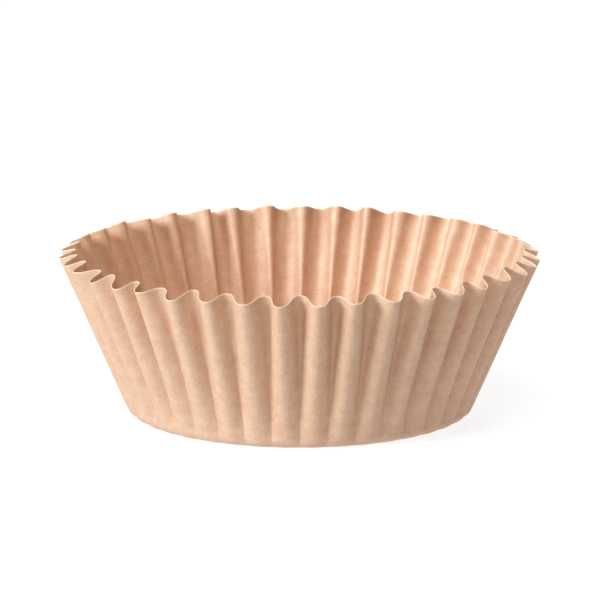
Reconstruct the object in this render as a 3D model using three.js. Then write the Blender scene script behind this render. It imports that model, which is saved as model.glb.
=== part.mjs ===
// A paper baking cup: one round sheet of greaseproof paper, pressed into a cup with a flat
// base and a fluted wall. Millimetres, +Z up, origin at the centre of the base's underside.
//
// Paper bends but doesn't stretch, and the cup is worked out from that. A circle drawn on the
// flat sheet keeps its length in the cup, so the wall, which has less room for it, takes up
// the rest in flutes, which deepen from nothing at the fold to their most at the rim. A line
// drawn outwards from the sheet's centre keeps its length too, so the ridges, which lean out
// further than the valleys, end lower, and the rim is scalloped.

import * as THREE from "three";

// Driving dimensions.
const BASE_DIAMETER = 49; // the flat of the base, inside the fold
const FOLD_RADIUS = 1.8; // rounding between base and wall, to the middle of the sheet
const WALL_LENGTH = 24.4; // along a ridge, from the fold to the rim
const WALL_LEAN = 23.5; // degrees outwards from upright, along a ridge
const FLUTES = 40;
const VALLEY_SHARE_AT_FOLD = 0.13; // of a flute's sheet, bent the valley's way: a crease
const VALLEY_SHARE_AT_RIM = 0.55; // a little more than the ridge's
const VALLEY_SHARE_RISE = 1.6; // above 1, the share grows most near the rim
const PAPER_THICKNESS = 0.06;

// How finely the sheet is drawn.
const FACETS_PER_FLUTE = 10; // even, so that ridge and valley each have a corner
const HUB_SHARE = 0.9; // of the flat's radius, drawn in large facets
const FOLD_RINGS = 2;
const WALL_RINGS = 4;
const WALL_RING_CROWDING = 1.6; // above 1, the wall's rings crowd towards the fold

// How finely the pressing is worked out.
const LINES_PER_FLUTE = 160; // lines running outwards on the flat sheet
const MARCH_STEP = 0.2; // the length of line followed at a time
const HALVINGS = 40;

const BASE_RADIUS = BASE_DIAMETER / 2;
const FOLD_TURN = THREE.MathUtils.degToRad(90 - WALL_LEAN);
const FOLD_END = BASE_RADIUS + FOLD_RADIUS * FOLD_TURN;
const FLUTE_ANGLE = (2 * Math.PI) / FLUTES;
const DOWN = new THREE.Vector3(0, 0, -1);

// The radius of the ridges where the flat sheet had sheetRadius.
function ridgeRadius(sheetRadius) {
  if (sheetRadius <= BASE_RADIUS) return sheetRadius;
  const turned = Math.min((sheetRadius - BASE_RADIUS) / FOLD_RADIUS, FOLD_TURN);
  const upTheWall = Math.max(sheetRadius - FOLD_END, 0);
  return BASE_RADIUS + FOLD_RADIUS * Math.sin(turned) + upTheWall * Math.cos(FOLD_TURN);
}

// The length of sheet that one flute holds where the flat sheet had sheetRadius. The little
// that is too much for the fold is crimped flat there, and stays so up the wall.
function fluteLength(sheetRadius) {
  const crimped = Math.min(sheetRadius, FOLD_END) - ridgeRadius(Math.min(sheetRadius, FOLD_END));
  return (sheetRadius - crimped) * FLUTE_ANGLE;
}

// Where the ridge's bend ends and the valley's begins, with the flute as a full turn.
function ridgeEnd(sheetRadius) {
  const risen = (Math.max(sheetRadius - FOLD_END, 0) / WALL_LENGTH) ** VALLEY_SHARE_RISE;
  return Math.PI * (1 - THREE.MathUtils.lerp(VALLEY_SHARE_AT_FOLD, VALLEY_SHARE_AT_RIM, risen));
}

// Moves an angle between 0 and a full turn in the way that takes end to newEnd. It leaves 0,
// the half turn and the full turn alone.
function shift(angle, end, newEnd) {
  if (angle > Math.PI) return 2 * Math.PI - shift(2 * Math.PI - angle, end, newEnd);
  if (angle < end) return (angle * newEnd) / end;
  return THREE.MathUtils.mapLinear(angle, end, Math.PI, newEnd, Math.PI);
}

// Follows the sheet across one flute from ridge to ridge and gives each line's radius and its
// angle from the ridge. Seen from above, the sheet's direction swings to either side of the
// circle like a sine along its length, which is the curve that a bent strip takes, shifted to
// give a broad ridge and a narrow valley.
function crossFlute(sheetRadius, swing) {
  const step = fluteLength(sheetRadius) / LINES_PER_FLUTE;
  const end = ridgeEnd(sheetRadius);
  const points = [{ radius: ridgeRadius(sheetRadius), angle: 0 }];
  for (let line = 1; line <= LINES_PER_FLUTE; line++) {
    const along = (2 * Math.PI * (line - 0.5)) / LINES_PER_FLUTE;
    const direction = swing * Math.sin(shift(along, end, Math.PI / 2));
    const last = points.at(-1);
    const radius = last.radius - step * Math.sin(direction);
    const middle = (last.radius + radius) / 2;
    points.push({ radius, angle: last.angle + (step * Math.cos(direction)) / middle });
  }
  return points;
}

// The flute that fits: the swing is the one that ends it where the next flute begins.
function fluteAt(sheetRadius) {
  let low = 0;
  let high = Math.PI / 2;
  for (let i = 0; i < HALVINGS; i++) {
    const swing = (low + high) / 2;
    if (crossFlute(sheetRadius, swing).at(-1).angle > FLUTE_ANGLE) low = swing;
    else high = swing;
  }
  return crossFlute(sheetRadius, low);
}

// Follows the lines outwards from the edge of the flat through each of sheetRadii, and gives
// one flute with its heights at each. What a line doesn't spend on going outwards or sideways
// it spends on going up.
function pressFlute(sheetRadii) {
  let reached = BASE_RADIUS;
  let points = fluteAt(reached).map((point) => ({ ...point, height: 0 }));
  return sheetRadii.map((sheetRadius) => {
    const start = reached;
    const steps = Math.ceil((sheetRadius - start) / MARCH_STEP);
    for (let step = 1; step <= steps; step++) {
      const next = THREE.MathUtils.lerp(start, sheetRadius, step / steps);
      points = fluteAt(next).map(({ radius, angle }, line) => {
        const from = points[line];
        const across =
          radius ** 2 + from.radius ** 2 - 2 * radius * from.radius * Math.cos(angle - from.angle);
        const rise = Math.sqrt(Math.max((next - reached) ** 2 - across, 0));
        return { radius, angle, height: from.height + rise };
      });
      reached = next;
    }
    return points;
  });
}

// Where the rings lie on the flat sheet: at the edge of the flat, round the fold, up the wall.
function ringRadii() {
  const radii = [BASE_RADIUS];
  for (let i = 1; i <= FOLD_RINGS; i++)
    radii.push(THREE.MathUtils.lerp(BASE_RADIUS, FOLD_END, i / FOLD_RINGS));
  for (let i = 1; i <= WALL_RINGS; i++)
    radii.push(FOLD_END + WALL_LENGTH * (i / WALL_RINGS) ** WALL_RING_CROWDING);
  return radii;
}

// The corners of one ring, as points on the middle of the sheet. They lie closer where the
// sheet bends more, and half a flute on from the front, so that a valley faces -Y.
function ringCorners(flute, sheetRadius) {
  const corners = [];
  for (let i = 0; i < FLUTES * FACETS_PER_FLUTE; i++) {
    const facet = i % FACETS_PER_FLUTE;
    const phase = (2 * Math.PI * facet) / FACETS_PER_FLUTE;
    const along = shift(phase, Math.PI / 2, ridgeEnd(sheetRadius));
    const { radius, angle, height } = flute[Math.round((along / (2 * Math.PI)) * LINES_PER_FLUTE)];
    const fluteStart = (Math.floor(i / FACETS_PER_FLUTE) + 0.5) * FLUTE_ANGLE - Math.PI / 2;
    const turn = fluteStart + angle;
    corners.push(
      new THREE.Vector3(radius * Math.cos(turn), radius * Math.sin(turn), height + PAPER_THICKNESS / 2),
    );
  }
  return corners;
}

// The flat inside the first ring: its centre, and one corner to a flute on the way there.
function flatCorners(firstRing) {
  const hub = firstRing.filter((corner, i) => i % FACETS_PER_FLUTE === 0);
  return [
    new THREE.Vector3(0, 0, PAPER_THICKNESS / 2),
    ...hub.map(({ x, y, z }) => new THREE.Vector3(x * HUB_SHARE, y * HUB_SHARE, z)),
  ];
}

// The direction out of the cup, square to the sheet, at one corner of the rings.
function outwards(rings, j, i) {
  if (j === 0) return DOWN.clone();
  const around = rings[j].length;
  const sideways = rings[j][(i + 1) % around].clone().sub(rings[j][(i + around - 1) % around]);
  const upwards = rings[Math.min(j + 1, rings.length - 1)][i].clone().sub(rings[j - 1][i]);
  return sideways.cross(upwards).normalize();
}

// The triangles of one skin, facing out of the cup, on the corners of the flat and then of the
// rings. In each flute they are a mirror image about the valley.
function skinTriangles(ringCount) {
  const around = FLUTES * FACETS_PER_FLUTE;
  const hub = (flute) => 1 + (flute % FLUTES);
  const ring = (j, i) => 1 + FLUTES + j * around + (i % around);
  const triangles = [];
  for (let flute = 0; flute < FLUTES; flute++) {
    const first = flute * FACETS_PER_FLUTE;
    const valley = first + FACETS_PER_FLUTE / 2;
    triangles.push([0, hub(flute + 1), hub(flute)]);
    triangles.push([hub(flute), hub(flute + 1), ring(0, valley)]);
    for (let i = first; i < first + FACETS_PER_FLUTE; i++) {
      const intoValley = i < valley;
      triangles.push([hub(intoValley ? flute : flute + 1), ring(0, i + 1), ring(0, i)]);
      for (let j = 0; j + 1 < ringCount; j++) {
        const [a, b, c, d] = [ring(j, i), ring(j, i + 1), ring(j + 1, i + 1), ring(j + 1, i)];
        if (intoValley) triangles.push([a, b, c], [a, c, d]);
        else triangles.push([a, b, d], [b, c, d]);
      }
    }
  }
  return triangles;
}

// The closed body of the sheet: an outer and an inner skin, half a thickness to either side of
// its middle, joined along the rim.
function sheetGeometry(rings) {
  const flat = flatCorners(rings[0]);
  const corners = [...flat, ...rings.flat()];
  const normals = [
    ...flat.map(() => DOWN),
    ...rings.flatMap((ring, j) => ring.map((corner, i) => outwards(rings, j, i))),
  ];
  const positions = [PAPER_THICKNESS / 2, -PAPER_THICKNESS / 2].flatMap((offset) =>
    corners.flatMap((corner, i) => corner.clone().addScaledVector(normals[i], offset).toArray()),
  );
  const toInner = corners.length;
  const outerSkin = skinTriangles(rings.length);
  const innerSkin = outerSkin.map(([a, b, c]) => [a + toInner, c + toInner, b + toInner]);
  const around = rings[0].length;
  const rimStart = corners.length - around;
  const rim = rings[0].flatMap((corner, i) => {
    const here = rimStart + i;
    const next = rimStart + ((i + 1) % around);
    return [
      [here, next, next + toInner],
      [here, next + toInner, here + toInner],
    ];
  });
  const geometry = new THREE.BufferGeometry();
  geometry.setAttribute("position", new THREE.Float32BufferAttribute(positions, 3));
  geometry.setIndex([...outerSkin, ...innerSkin, ...rim].flat());
  geometry.computeVertexNormals();
  return geometry;
}

function bakingCup() {
  const unbleachedPaper = new THREE.MeshStandardMaterial({
    color: "#dcae88",
    roughness: 0.6,
    metalness: 0,
  });
  const sheetRadii = ringRadii();
  const rings = pressFlute(sheetRadii).map((flute, j) => ringCorners(flute, sheetRadii[j]));
  const cup = new THREE.Mesh(sheetGeometry(rings), unbleachedPaper);
  cup.name = "baking_cup";
  return cup;
}

const part = new THREE.Group();
part.add(bakingCup());

export default part;
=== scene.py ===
import math

import bpy
import numpy as np
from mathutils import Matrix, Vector


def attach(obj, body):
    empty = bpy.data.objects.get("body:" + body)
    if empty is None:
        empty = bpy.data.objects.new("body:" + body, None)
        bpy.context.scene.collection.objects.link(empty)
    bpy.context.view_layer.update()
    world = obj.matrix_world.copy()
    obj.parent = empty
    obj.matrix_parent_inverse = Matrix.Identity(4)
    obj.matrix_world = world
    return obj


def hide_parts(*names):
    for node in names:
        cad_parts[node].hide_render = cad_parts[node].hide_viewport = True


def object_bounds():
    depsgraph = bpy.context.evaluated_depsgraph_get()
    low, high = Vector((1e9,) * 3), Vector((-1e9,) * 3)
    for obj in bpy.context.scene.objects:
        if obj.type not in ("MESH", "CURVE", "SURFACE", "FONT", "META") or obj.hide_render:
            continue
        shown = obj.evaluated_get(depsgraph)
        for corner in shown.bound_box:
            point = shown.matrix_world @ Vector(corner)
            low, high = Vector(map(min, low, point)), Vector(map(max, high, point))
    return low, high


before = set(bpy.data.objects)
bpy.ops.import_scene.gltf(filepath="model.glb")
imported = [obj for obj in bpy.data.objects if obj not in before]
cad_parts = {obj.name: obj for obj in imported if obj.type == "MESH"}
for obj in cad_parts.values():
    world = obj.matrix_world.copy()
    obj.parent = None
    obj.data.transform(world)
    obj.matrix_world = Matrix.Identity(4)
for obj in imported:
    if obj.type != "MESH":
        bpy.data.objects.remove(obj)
CAD_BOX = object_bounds()

MM = 0.001

# The cup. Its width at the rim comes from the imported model, and the flat, the fold, the lean,
# the flutes and the paper repeat its sizes. Here the creases by the fold are sharper, and the
# ridges at the rim a little broader.
FLAT_RADIUS = 24.5 * MM
FOLD_RADIUS = 1.8 * MM
WALL_LEAN = math.radians(23.5)
FLUTES = 40
VALLEY_SHARE_AT_FOLD = 0.06  # of a flute's sheet, bent the valley's way
VALLEY_SHARE_AT_RIM = 0.45
VALLEY_SHARE_RISE = 1.9  # above 1, the share grows most near the rim
FOLD_CRIMP = 0.75  # how much of the fold's excess is crimped flat; the rest starts the flutes
PAPER = 0.06 * MM

FULL_TURN = 2 * math.pi
FLUTE_ANGLE = FULL_TURN / FLUTES
FOLD_TURN = math.pi / 2 - WALL_LEAN
FOLD_END = FLAT_RADIUS + FOLD_RADIUS * FOLD_TURN
RIM_RIDGE_RADIUS = CAD_BOX[1].x / math.cos(FLUTE_ANGLE / 2) - PAPER / 2
WALL_LENGTH = (
    RIM_RIDGE_RADIUS - FLAT_RADIUS - FOLD_RADIUS * math.sin(FOLD_TURN)
) / math.sin(WALL_LEAN)
# The width of the rim's pale strip, a painted highlight for light catching and shining through
# the thin cut edge.
RIM_HIGHLIGHT_WIDTH = 0.25 * MM  # the paler strip along the cut rim

# How finely the sheet is drawn, and how finely its pressing is followed.
CORNERS_PER_FLUTE = 24
FLAT_RINGS = 3
FOLD_RINGS = 6
WALL_RINGS = 37
WALL_RING_CROWDING = 1.25  # above 1, the wall's rings crowd towards the fold
SHARP_ANGLE = math.radians(60)
LINES_PER_FLUTE = 192
MARCH_STEP = 0.2 * MM
HALVINGS = 40

# How far a pressed cup strays from an even one, at the rim unless it says otherwise.
SEED = 7
WIDTH_JITTER = 0.05  # of a flute, for each ridge and each valley
DEPTH_JITTER = 0.08  # of the flute's depth
IN_OUT_JITTER = 0.13 * MM
RIM_JITTER = 0.15 * MM  # up and down
DENTS = 0.07 * MM  # soft dents along the flutes
DENT_WAVES = (1.5, 2.7, 4.1)  # from the fold to the rim
CRIMPS = 0.02 * MM  # fine creases about the fold, where the sheet has the least room
CRIMPS_PER_FLUTE = (7, 11)
CRIMP_REACH = 2.5 * MM  # how far they run up the wall

# The paper. Colours are linear.
DARK_PAPER = (0.695, 0.43, 0.27)
PAPER_COLOUR = (0.72, 0.478, 0.313)
PALE_PAPER = (0.75, 0.53, 0.365)
# Painted highlight: the cut rim's pale cream stands in for light catching and shining through
# the thin edge.
RIM_HIGHLIGHT_COLOUR = (0.88, 0.72, 0.55, 1)
GLOW_COLOUR = (0.82, 0.42, 0.17, 1)
GLOW_SHARE = 0.2
WHITE = (1, 1, 1)

# The ground glows nearly enough to show white by itself, so its shadows are faint.
GROUND_HALF_WIDTH = 3.0
GROUND_GAP = 0.01 * MM  # under the base, so that their faces don't coincide
GROUND_GREY = 0.14
GROUND_GLOW = 0.86

# The light, from softboxes that face the cup and a faintly glowing room.
COOL = (0.84, 0.925, 1.0)
WARM = (1.0, 0.94, 0.87)
FAINTLY_WARM = (1.0, 0.96, 0.91)
ROOM_GLOW = 0.06

# The camera, from the photograph: how far from the cup's axis, how high, and where it looks.
CAMERA_DISTANCE = 680 * MM
CAMERA_HEIGHT = 164 * MM
CAMERA_PITCH = math.radians(12.23)
FOCAL_PIXELS = 4648
FRAME_PIXELS = 600
SENSOR_WIDTH = 36.0
NEAREST_SEEN = 0.01
FARTHEST_SEEN = 20


def ridge_radius(sheet_radius):
    """The ridges' radius in the cup where the flat sheet had sheet_radius."""
    if sheet_radius <= FLAT_RADIUS:
        return sheet_radius
    turned = min((sheet_radius - FLAT_RADIUS) / FOLD_RADIUS, FOLD_TURN)
    up_the_wall = max(sheet_radius - FOLD_END, 0)
    return FLAT_RADIUS + FOLD_RADIUS * math.sin(turned) + up_the_wall * math.cos(FOLD_TURN)


def flute_length(sheet_radius):
    """The length of sheet in one flute, less what the fold crimps flat."""
    in_fold = min(sheet_radius, FOLD_END)
    crimped = FOLD_CRIMP * (in_fold - ridge_radius(in_fold))
    return (sheet_radius - crimped) * FLUTE_ANGLE


def ridge_end(sheet_radius):
    """Where the ridge's bend ends and the valley's begins, with the flute as a full turn."""
    risen = (max(sheet_radius - FOLD_END, 0) / WALL_LENGTH) ** VALLEY_SHARE_RISE
    share = VALLEY_SHARE_AT_FOLD + (VALLEY_SHARE_AT_RIM - VALLEY_SHARE_AT_FOLD) * risen
    return math.pi * (1 - share)


def shift(angle, end, new_end):
    """Moves an angle between 0 and a full turn in the way that takes end to new_end."""
    old_ends = [0, end, FULL_TURN - end, FULL_TURN]
    return np.interp(angle, old_ends, [0, new_end, FULL_TURN - new_end, FULL_TURN])


def cross_flute(sheet_radius, swing):
    """One flute from ridge to ridge: each line's radius, and its angle from the ridge.

    Seen from above, the sheet's direction swings to either side of the circle like a sine
    along its length, shifted to give a broad ridge and a narrow valley.
    """
    step = flute_length(sheet_radius) / LINES_PER_FLUTE
    along = FULL_TURN * (np.arange(LINES_PER_FLUTE) + 0.5) / LINES_PER_FLUTE
    direction = swing * np.sin(shift(along, ridge_end(sheet_radius), math.pi / 2))
    inward = np.concatenate([[0], np.cumsum(step * np.sin(direction))])
    radius = ridge_radius(sheet_radius) - inward
    middle = (radius[1:] + radius[:-1]) / 2
    angle = np.concatenate([[0], np.cumsum(step * np.cos(direction) / middle)])
    return radius, angle


def flute_at(sheet_radius):
    """The flute that fits: its swing ends it where the next one begins."""
    low, high = 0.0, math.pi / 2
    for _ in range(HALVINGS):
        swing = (low + high) / 2
        if cross_flute(sheet_radius, swing)[1][-1] > FLUTE_ANGLE:
            low = swing
        else:
            high = swing
    return cross_flute(sheet_radius, low)


def press_flute(sheet_radii):
    """One flute at each of sheet_radii, with its heights.

    What a line running outwards doesn't spend on going outwards or sideways it spends on
    going up, since paper doesn't stretch.
    """
    reached = FLAT_RADIUS
    radius, angle = flute_at(reached)
    height = np.zeros_like(radius)
    flutes = []
    for sheet_radius in sheet_radii:
        start = reached
        steps = math.ceil((sheet_radius - start) / MARCH_STEP)
        for step in range(1, steps + 1):
            here = start + (sheet_radius - start) * step / steps
            new_radius, new_angle = flute_at(here)
            turned = np.cos(new_angle - angle)
            across = new_radius**2 + radius**2 - 2 * new_radius * radius * turned
            height = height + np.sqrt(np.maximum((here - reached) ** 2 - across, 0))
            radius, angle, reached = new_radius, new_angle, here
        flutes.append((radius, angle, height))
    return flutes


def even_rings(sheet_radii):
    """The even cup: radius, angle and height of every corner, with a row to a ring.

    The corners lie closer where the sheet bends more, and half a flute on from the front, so
    that a valley faces -Y.
    """
    phases = FULL_TURN * np.arange(CORNERS_PER_FLUTE) / CORNERS_PER_FLUTE
    lines = FULL_TURN * np.arange(LINES_PER_FLUTE + 1) / LINES_PER_FLUTE
    flute_starts = (np.arange(FLUTES) + 0.5) * FLUTE_ANGLE - math.pi / 2
    rings = []
    for sheet_radius, flute in zip(sheet_radii, press_flute(sheet_radii)):
        along = shift(phases, math.pi / 2, ridge_end(sheet_radius))
        radius, angle, height = (np.interp(along, lines, values) for values in flute)
        turn = (flute_starts[:, None] + angle).ravel()
        rings.append((np.tile(radius, FLUTES), turn, np.tile(height, FLUTES)))
    return [np.array(values) for values in zip(*rings)]


def round_the_cup(random, count, turn):
    """Random values for count places round the cup, read at turn and smooth between them."""
    values = random.standard_normal(count)
    place = turn / FULL_TURN * count
    before = np.floor(place).astype(int)
    blend = place - before
    blend = blend * blend * (3 - 2 * blend)
    return values[before % count] * (1 - blend) + values[(before + 1) % count] * blend


def strayed_rings(rings, sheet_radii):
    """The even cup with the small faults of a pressed one, and none in the flat of the base."""
    radius, turn, height = rings
    random = np.random.default_rng(SEED)
    sheet = np.array(sheet_radii)[:, None]
    up = np.clip((sheet - FOLD_END) / WALL_LENGTH, 0, 1)
    grown = np.sqrt(up)
    ridge = np.array([[ridge_radius(r)] for r in sheet_radii])

    width = WIDTH_JITTER * FLUTE_ANGLE * round_the_cup(random, 2 * FLUTES, turn)
    depth = 1 + DEPTH_JITTER * round_the_cup(random, FLUTES, turn) * grown
    in_out = IN_OUT_JITTER * round_the_cup(random, FLUTES, turn) * grown
    up_down = RIM_JITTER * round_the_cup(random, 2 * FLUTES, turn) * up**2
    for waves in DENT_WAVES:
        strength = DENTS / len(DENT_WAVES) * round_the_cup(random, 2 * FLUTES, turn)
        start = math.pi * round_the_cup(random, FLUTES, turn)
        in_out += strength * np.sin(FULL_TURN * waves * up + start) * grown
    near_fold = np.clip(1 - height / CRIMP_REACH, 0, 1) * (sheet > FLAT_RADIUS)
    for count in CRIMPS_PER_FLUTE:
        strength = CRIMPS / len(CRIMPS_PER_FLUTE) * near_fold
        in_out += strength * round_the_cup(random, count * FLUTES, turn)

    new_radius = ridge - (ridge - radius) * depth + in_out
    return new_radius, turn + width * up, height + up_down


def sheet_rings():
    """The corners of the sheet's middle, with a row to a ring, from the base to the rim."""
    fold = np.linspace(FLAT_RADIUS, FOLD_END, FOLD_RINGS + 1)
    wall = np.linspace(0, 1, WALL_RINGS + 1)[1:] ** WALL_RING_CROWDING
    sheet_radii = [*fold, *(FOLD_END + (WALL_LENGTH - RIM_HIGHLIGHT_WIDTH) * wall), FOLD_END + WALL_LENGTH]
    radius, turn, height = strayed_rings(even_rings(sheet_radii), sheet_radii)
    rings = np.stack([radius * np.cos(turn), radius * np.sin(turn), height], axis=2)
    shrink = np.linspace(0, 1, FLAT_RINGS + 2)[1:-1, None, None]
    rings = np.concatenate([rings[:1] * shrink, rings])
    rings[..., 2] += PAPER / 2
    return rings


def outwards(rings):
    """The direction out of the cup, square to the sheet, at each corner of the rings."""
    sideways = np.roll(rings, -1, axis=1) - np.roll(rings, 1, axis=1)
    normals = np.cross(sideways, np.gradient(rings, axis=0))
    normals /= np.linalg.norm(normals, axis=2, keepdims=True)
    normals[: FLAT_RINGS + 1] = (0, 0, -1)
    return normals


def cup_mesh():
    """The sheet as a closed mesh: an outer and an inner skin, joined along the rim."""
    rings = sheet_rings()
    centre = np.array([[0, 0, PAPER / 2]])
    corners = np.concatenate([centre, rings.reshape(-1, 3)])
    normals = np.concatenate([[[0, 0, -1]], outwards(rings).reshape(-1, 3)])
    offsets = normals * PAPER / 2
    vertices = np.concatenate([corners + offsets, corners - offsets])

    to_inner = len(corners)
    around = rings.shape[1]
    here = np.arange(around)
    after = (here + 1) % around
    starts = 1 + around * np.arange(len(rings))[:, None]
    low, high = starts[:-1], starts[1:]
    wall = np.stack([low + here, low + after, high + after, high + here], axis=2).reshape(-1, 4)
    hub = np.stack([np.zeros(around, int), 1 + after, 1 + here], axis=1)
    rim = int(starts[-1, 0]) + np.stack([here, after, after + to_inner, here + to_inner], axis=1)
    faces = [wall, wall[:, ::-1] + to_inner, hub, hub[:, ::-1] + to_inner, rim]

    mesh = bpy.data.meshes.new("pressed_cup")
    mesh.from_pydata(vertices.tolist(), [], [face for group in faces for face in group.tolist()])
    # Marks the rim's corners, where the painted rim highlight is mixed in.
    at_rim_highlight = np.zeros(len(vertices))
    at_rim_highlight[rim.ravel()] = 1
    mesh.attributes.new("painted_rim_highlight", "FLOAT", "POINT").data.foreach_set("value", at_rim_highlight)
    mesh.shade_smooth()
    mesh.set_sharp_from_angle(angle=SHARP_ANGLE)
    return mesh


class Nodes:
    """A material's node tree, with short ways to add nodes and join them."""

    def __init__(self, name):
        self.material = bpy.data.materials.new(name)
        self.material.use_nodes = True
        self.tree = self.material.node_tree
        self.tree.nodes.clear()

    def join(self, node, socket, value):
        """Gives a node's input a value, or the output of another node."""
        if isinstance(value, bpy.types.NodeSocket):
            self.tree.links.new(value, node.inputs[socket])
        else:
            node.inputs[socket].default_value = value

    def add(self, kind, settings=None, **inputs):
        node = self.tree.nodes.new("ShaderNode" + kind)
        for name, value in (settings or {}).items():
            setattr(node, name, value)
        for name, value in inputs.items():
            self.join(node, name.replace("_", " "), value)
        return node

    def mix(self, first, second, amount, blend_type="MIX"):
        """Two colours mixed. The colour sockets of this node share their names with others."""
        node = self.add("Mix", {"data_type": "RGBA", "blend_type": blend_type})
        for socket, value in zip((0, 6, 7), (amount, first, second)):
            self.join(node, socket, value)
        return node.outputs[2]

    def ramp(self, value, *stops):
        """A colour read at value between stops, each a place and a colour."""
        node = self.add("ValToRGB", Fac=value)
        elements = node.color_ramp.elements
        while len(elements) < len(stops):
            elements.new(1)
        for element, (place, colour) in zip(elements, stops):
            element.position = place
            element.color = (*colour, 1)
        return node.outputs["Color"]

    def finish(self, surface):
        self.add("OutputMaterial", Surface=surface)
        return self.material


def paper_colour(nodes, place, grain):
    """Cloudy, grainy paper with faint strands and a few dark specks, and a painted highlight
    along its cut edge.
    """
    clouds = nodes.add("TexNoise", Vector=place, Scale=700.0, Detail=4.0, Roughness=0.65)
    strands = nodes.add("TexNoise", Vector=place, Scale=420.0, Detail=3.0, Distortion=1.2)
    specks = nodes.add("TexVoronoi", Vector=place, Scale=520.0)
    cloudy = nodes.ramp(
        clouds.outputs["Fac"], (0.36, DARK_PAPER), (0.5, PAPER_COLOUR), (0.64, PALE_PAPER)
    )
    grainy = nodes.ramp(grain, (0.35, (0.91, 0.88, 0.85)), (0.65, WHITE))
    stranded = nodes.ramp(
        strands.outputs["Fac"], (0.485, WHITE), (0.5, (0.80, 0.74, 0.68)), (0.515, WHITE)
    )
    specked = nodes.ramp(specks.outputs["Distance"], (0.06, (0.62, 0.50, 0.40)), (0.1, WHITE))
    colour = nodes.mix(cloudy, grainy, 1.0, "MULTIPLY")
    colour = nodes.mix(colour, stranded, 0.35, "MULTIPLY")
    colour = nodes.mix(colour, specked, 0.6, "MULTIPLY")
    # The pale cut edge is a painted highlight, standing in for the lit, glowing rim.
    at_rim_highlight = nodes.add("Attribute", {"attribute_name": "painted_rim_highlight"})
    return nodes.mix(colour, RIM_HIGHLIGHT_COLOUR, at_rim_highlight.outputs["Fac"])


def paper_material():
    """Unbleached greaseproof paper: satin, and glowing a little where it is lit from behind."""
    nodes = Nodes("unbleached_greaseproof")
    place = nodes.add("TexCoord").outputs["Object"]
    fine_noise = nodes.add("TexNoise", Vector=place, Scale=3400.0, Detail=2.0, Roughness=0.6)
    grain = fine_noise.outputs["Fac"]
    bump = nodes.add("Bump", Strength=0.3, Distance=0.03 * MM, Height=grain).outputs["Normal"]
    surface = nodes.add(
        "BsdfPrincipled",
        Base_Color=paper_colour(nodes, place, grain),
        Roughness=0.55,
        Specular_IOR_Level=1.0,
        Normal=bump,
    )
    glow = nodes.add("BsdfTranslucent", Color=GLOW_COLOUR, Normal=bump)
    paper = nodes.add("MixShader", Fac=GLOW_SHARE)
    nodes.join(paper, 1, surface.outputs["BSDF"])
    nodes.join(paper, 2, glow.outputs["BSDF"])
    return nodes.finish(paper.outputs["Shader"])


def ground_material():
    """A pale ground that glows, as a photographer's light table does."""
    nodes = Nodes("pale_ground")
    surface = nodes.add(
        "BsdfPrincipled",
        Base_Color=(GROUND_GREY, GROUND_GREY, GROUND_GREY, 1),
        Roughness=0.9,
        Emission_Color=(*WHITE, 1),
        Emission_Strength=GROUND_GLOW,
    )
    return nodes.finish(surface.outputs["BSDF"])


def add_object(name, data):
    thing = bpy.data.objects.new(name, data)
    bpy.context.scene.collection.objects.link(thing)
    return thing


def add_cup():
    cup = add_object("pressed_cup", cup_mesh())
    cup.data.materials.append(paper_material())
    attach(cup, "root")
    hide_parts("baking_cup")


def add_ground():
    half = GROUND_HALF_WIDTH
    mesh = bpy.data.meshes.new("ground")
    corners = [(-half, -half, 0), (half, -half, 0), (half, half, 0), (-half, half, 0)]
    mesh.from_pydata(corners, [], [(0, 1, 2, 3)])
    mesh.materials.append(ground_material())
    ground = add_object("ground", mesh)
    ground.location.z = -GROUND_GAP


def add_camera():
    data = bpy.data.cameras.new("camera")
    data.sensor_width = SENSOR_WIDTH
    data.lens = SENSOR_WIDTH * FOCAL_PIXELS / FRAME_PIXELS
    data.clip_start = NEAREST_SEEN
    data.clip_end = FARTHEST_SEEN
    camera = add_object("camera", data)
    camera.location = (0, -CAMERA_DISTANCE, CAMERA_HEIGHT)
    camera.rotation_euler = (math.pi / 2 - CAMERA_PITCH, 0, 0)
    bpy.context.scene.camera = camera


def add_softbox(name, place, size, power, colour):
    """A square light at place that faces the cup."""
    data = bpy.data.lights.new(name, "AREA")
    data.shape = "SQUARE"
    data.size = size
    data.energy = power
    data.color = colour
    light = add_object(name, data)
    light.location = place
    middle_of_cup = Vector((0, 0, CAD_BOX[1].z / 2))
    towards = middle_of_cup - Vector(place)
    light.rotation_euler = towards.to_track_quat("-Z", "Y").to_euler()


def add_lights():
    """A cool key from the left, warm light from above and behind, and a faint room."""
    add_softbox("key", place=(-0.76, -0.50, 0.38), size=0.42, power=12.5, colour=COOL)
    add_softbox("top", place=(-0.05, -0.30, 0.90), size=0.45, power=8.3, colour=WARM)
    add_softbox("back", place=(0.15, 0.70, 0.60), size=0.40, power=3.4, colour=FAINTLY_WARM)
    world = bpy.data.worlds.new("studio")
    world.use_nodes = True
    background = world.node_tree.nodes["Background"]
    background.inputs["Color"].default_value = (*WHITE, 1)
    background.inputs["Strength"].default_value = ROOM_GLOW
    bpy.context.scene.world = world
    bpy.context.scene.view_settings.view_transform = "Standard"


add_camera()
add_cup()
add_ground()
add_lights()
